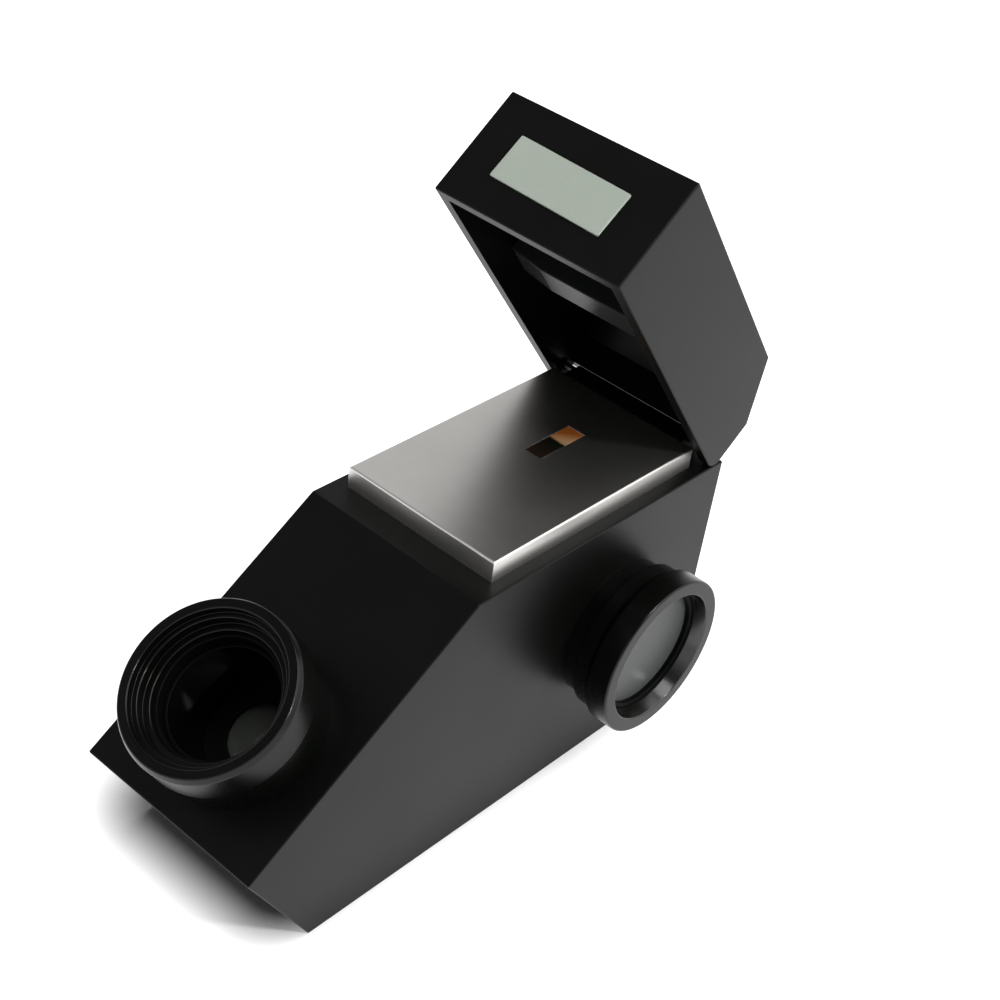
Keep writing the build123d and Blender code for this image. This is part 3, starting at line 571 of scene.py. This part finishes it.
def port_barrel():
    """The port's tube, its rim and its cone-shaped mouth."""
    barrel = rounded([
        (port_spigot_bore, spigot_x, 0.1), (port_spigot_radius, spigot_x, 0.1),
        (port_spigot_radius, wall_x, 0.02), (port_tube_radius, wall_x, 0.02),
        (port_tube_radius, step_x, 0.05), (port_step_radius, step_x, 0.25),
        (port_step_radius, step_end_x, 0.3), (port_lip_radius, lip_x, 0.3),
        (port_lip_radius, lip_end_x, 0.3), (port_mouth_radius, lip_end_x, 0.2),
        (port_bore, mouth_x, 0.15), (port_bore, glass_x, 0.02),
        (port_spigot_bore, glass_x, 0.05),
    ])
    tube = lathe("port_barrel", barrel, port, turned_black, segments=192)
    mouth, rim = port_mouth_radius + 0.02, lip_end_x - 0.4
    refinish(tube, mouth_black, port, lambda r, h, tilt: r < mouth and h > glass_x)
    refinish(tube, burnished, port,
             lambda r, h, tilt: r > mouth and h > rim and turned_edge(tilt))
    dress(tube, "base", "black_anodised", "port_tube")


def port_ring():
    ring = rounded([
        (port_ring_bore, glass_end_x, 0.02), (port_bore - 0.02, glass_end_x, 0.02),
        (port_bore - 0.02, port_ring_x, 0.12), (port_ring_bore, port_ring_x, 0.15),
    ])
    dress(lathe("port_ring", ring, port, inner_black), "base", "black_anodised",
          "port_retainer")


def port_glass():
    chamfer, radius = 0.1, port_bore - 0.05
    pane = [
        (0, glass_x), (radius - chamfer, glass_x), (radius, glass_x + chamfer),
        (radius, glass_end_x - chamfer), (radius - chamfer, glass_end_x), (0, glass_end_x),
    ]
    dress(lathe("port_glass", pane, port, frosted, segments=128), "base", "frosted_glass",
          "port_window")


# Lid

def label_card():
    """The bare label, a little off centre and aslant as in the photo."""
    middle = lid_at(lid_front_s, label_t) + Vector((label_x * MM, 0, 0))
    place = frame_at(middle, (1, 0, 0), -along) @ Matrix.Rotation(label_tilt, 4, "Z")
    half_w, half_h = label_width / 2, label_height / 2
    corners = rounded([(-half_w, -half_h), (half_w, -half_h), (half_w, half_h),
                       (-half_w, half_h)], radius=0.25)
    card = slab("label_card", corners, 0.0, label_thickness, place, label_film, edge=0.06)
    dress(card, "lid", "label", "label_plate")


def lid_cross_piece():
    """The dark bar across the inside of the lid."""
    place = frame_at(lid_at(lid_front_s + baffle_from_front, 0), (1, 0, 0), -along)
    corners = rounded([
        (-baffle_foot, baffle_low_t, 0.4), (baffle_foot, baffle_low_t, 0.4),
        (baffle_half, baffle_side_t, 0.3), (baffle_half, baffle_top_t, 0.1),
        (-baffle_half, baffle_top_t, 0.1), (-baffle_half, baffle_side_t, 0.3),
    ])
    dress(slab("lid_cross_piece", corners, -baffle_depth, 0.0, place, satin_plastic), "lid",
          "black_plastic", "lid_baffle")


def hinge_rod():
    place = frame_at(pivot, (0, 1, 0), (1, 0, 0))
    outline = rounded([(0, -pin_half, 0), (pin_radius, -pin_half, 0.15),
                       (pin_radius, pin_half, 0.15), (0, pin_half, 0)])
    dress(lathe("pin", outline, place, dark_steel, segments=48), "base", "steel", "hinge_pin")


# Stage

def stage_top():
    """The metal plate, its window and its rubbed rim."""
    low, high = (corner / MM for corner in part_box("stage_plate"))
    reach = prism_half_width + prism_gap
    length = prism_radius + prism_gap
    window_low, window_high = Vector((-reach, -length, 0)), Vector((reach, length, 0))
    outside = [(0.0, low.z), (0.0, high.z - plate_edge - hold)]
    for k in range(5):
        a = pi / 8 * k
        outside.append((plate_edge * (1 - cos(a)), high.z - plate_edge * (1 - sin(a))))
    outside.append((plate_edge + hold, high.z))
    inside = [(-window_edge - hold, high.z)]
    for k in range(4):
        a = pi / 6 * k
        inside.append((window_edge * (sin(a) - 1), high.z - window_edge * (1 - cos(a))))
    inside += [(0.0, high.z - window_edge - hold), (0.0, low.z)]
    bm = bmesh.new()
    rings = [rectangle(bm, low, high, inset, z) for inset, z in outside]
    rings += [rectangle(bm, window_low, window_high, inset, z, window_corner)
              for inset, z in inside]
    join_rings(bm, rings, True)
    dress(finish_mesh(bm, "stage_top", plate_metal), "base", "nickel", "stage_plate")


def prism_block():
    """The half-round prism, its flat face up."""
    steps = 40
    curve = [(prism_radius * cos(pi + pi * k / steps), prism_radius * sin(pi + pi * k / steps))
             for k in range(steps + 1)]
    place = frame_at(mounts["gem_seat"]["pos_m"], (0, 1, 0), (1, 0, 0))
    block = slab("prism_block", curve, -prism_half_width, prism_half_width, place, prism_glass_painted_light,
                 edge=0.06)
    dress(block, "base", "optical_glass", "prism")


focus_rim()
eye_collar()
cell_tube()
cell_ring()
ocular_lens()
port_barrel()
port_ring()
port_glass()
label_card()
lid_cross_piece()
hinge_rod()
stage_top()
prism_block()


# Solids that keep their own meshes

finishes = {
    anodised: ["housing", "lid_shell"],
    base_black: ["base_plate"],
    inner_black: ["hinge_block", "eyepiece_nut", "port_nut", "relay_tube", "bulkhead",
                  "view_bracket", "light_bracket", "prism_cradle"],
    steel: ["base_screws", "stage_screws", "cradle_screws", "hinge_screws", "inner_screws",
            "light_bracket_screws", "snap_ring"],
    acetal: ["friction_washers"],
    lens_glass: ["objective_lens", "scale_reticle"],
    amber: ["amber_filter"],
    silvered: ["light_mirror", "view_mirror"],
}
for material, names in finishes.items():
    for name in names:
        mesh = nodes[name].data
        mesh.materials.clear()
        mesh.materials.append(material)


# Floor, world, lamps and camera

def directly_seen(tree):
    """1 for the rays that show a backdrop: the camera's, and those in gloss and glass."""
    path = tree.nodes.new("ShaderNodeLightPath")
    seen = combine(tree, "MAXIMUM", path.outputs["Is Camera Ray"], path.outputs["Is Glossy Ray"])
    return combine(tree, "MAXIMUM", seen, path.outputs["Is Transmission Ray"])


def floor_painted_light(tree, coords):
    """How much painted light the floor shows: 0 close to the base plate, a painted shadow around the cast one, and
    1 past the painted shadow's reach.
    """
    low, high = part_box("base_plate")
    high.x -= painted_shadow_shift * MM
    middle, half = (low + high) / 2, (high - low) / 2
    past = vector_step(tree, "SUBTRACT", coords, tuple(middle))
    past = vector_step(tree, "ABSOLUTE", past)
    past = vector_step(tree, "SUBTRACT", past, tuple(half))
    past = vector_step(tree, "MAXIMUM", past, (0, 0, 0))
    reach = vector_step(tree, "LENGTH", past)
    lift = remap(tree, reach, painted_shadow_core * MM, painted_shadow_reach * MM, 0.0, 1.0)
    return combine(tree, "POWER", lift, painted_shadow_curve)


def floor_material():
    """Grey paper whose painted light turns it to the backdrop's white away from the object; close to the object
    that light is held back, a painted shadow around the cast one.
    """
    material, tree, bsdf = new_material("floor_paper_painted_light")
    coords = tree.nodes.new("ShaderNodeTexCoord").outputs["Object"]
    fibre = remap(tree, noise(tree, coords, fibre_scale, 4.0, 0.6), 0.3, 0.7, 0, 1)
    tint = blend_colours(tree, fibre, (0.52, 0.52, 0.52), (0.55, 0.55, 0.55))
    tree.links.new(tint, bsdf.inputs["Base Color"])
    bsdf.inputs["Roughness"].default_value = 0.9
    bsdf.inputs["Specular IOR Level"].default_value = 0.1
    # Painted light: the floor shines white for the rays that show it, held back close to the object so that a
    # painted shadow stays there.
    shown = combine(tree, "MULTIPLY", directly_seen(tree), floor_painted_light(tree, coords))
    bsdf.inputs["Emission Color"].default_value = (1, 1, 1, 1)
    tree.links.new(shown, bsdf.inputs["Emission Strength"])
    return material


def floor():
    bm = bmesh.new()
    bmesh.ops.create_grid(bm, x_segments=24, y_segments=24, size=floor_half_size * MM)
    finish_mesh(bm, "floor", floor_material())


def studio_world():
    """A white room, dim overhead; its front and left give less light, but show as white."""
    world = bpy.data.worlds.new("studio")
    bpy.context.scene.world = world
    world.use_nodes = True
    tree = world.node_tree
    direction = tree.nodes.new("ShaderNodeTexCoord").outputs["Generated"]
    split = tree.nodes.new("ShaderNodeSeparateXYZ")
    tree.links.new(direction, split.inputs["Vector"])
    glow = remap(tree, split.outputs["Z"], dim_from, dim_full, horizon_light, overhead_light)
    front = remap(tree, split.outputs["Y"], side_full, side_from, front_share, 1.0)
    left = remap(tree, split.outputs["X"], side_full, side_from, left_share, 1.0)
    share = combine(tree, "MULTIPLY", front, left)
    share = combine(tree, "MAXIMUM", share, directly_seen(tree))
    background = tree.nodes["Background"]
    tree.links.new(combine(tree, "MULTIPLY", glow, share), background.inputs["Strength"])
    background.inputs["Color"].default_value = (1.0, 1.0, 1.0, 1)


def lamp(name, place, size, power):
    """A rectangular lamp that points at the object; places and sizes in metres."""
    data = bpy.data.lights.new(name, "AREA")
    data.shape = "RECTANGLE"
    data.size, data.size_y = size
    data.energy = power
    obj = bpy.data.objects.new(name, data)
    bpy.context.scene.collection.objects.link(obj)
    obj.location = place
    obj.rotation_euler = (Vector(aim) - Vector(place)).to_track_quat("-Z", "Y").to_euler()


def photo_camera():
    back = Vector((sin(azimuth) * cos(elevation), -cos(azimuth) * cos(elevation),
                   sin(elevation)))
    right = Vector((cos(azimuth), sin(azimuth), 0))
    x_axis = right * cos(roll) + back.cross(right) * sin(roll)
    data = bpy.data.cameras.new("camera")
    data.lens = lens_length
    data.sensor_width = sensor_width
    data.clip_start = 0.01
    camera = bpy.data.objects.new("camera", data)
    bpy.context.scene.collection.objects.link(camera)
    camera.matrix_world = frame_at(Vector(camera_place) * MM, x_axis, back)
    bpy.context.scene.camera = camera


floor()
studio_world()
lamp("key", (0.42, 0.34, 0.62), (0.8, 0.8), 3.6)
lamp("top", (0.03, -0.10, 0.88), (0.45, 0.40), 2.5)
lamp("side", (0.73, 0.13, 0.63), (0.07, 0.10), 5.0)
photo_camera()
bpy.context.scene.view_settings.view_transform = "Standard"
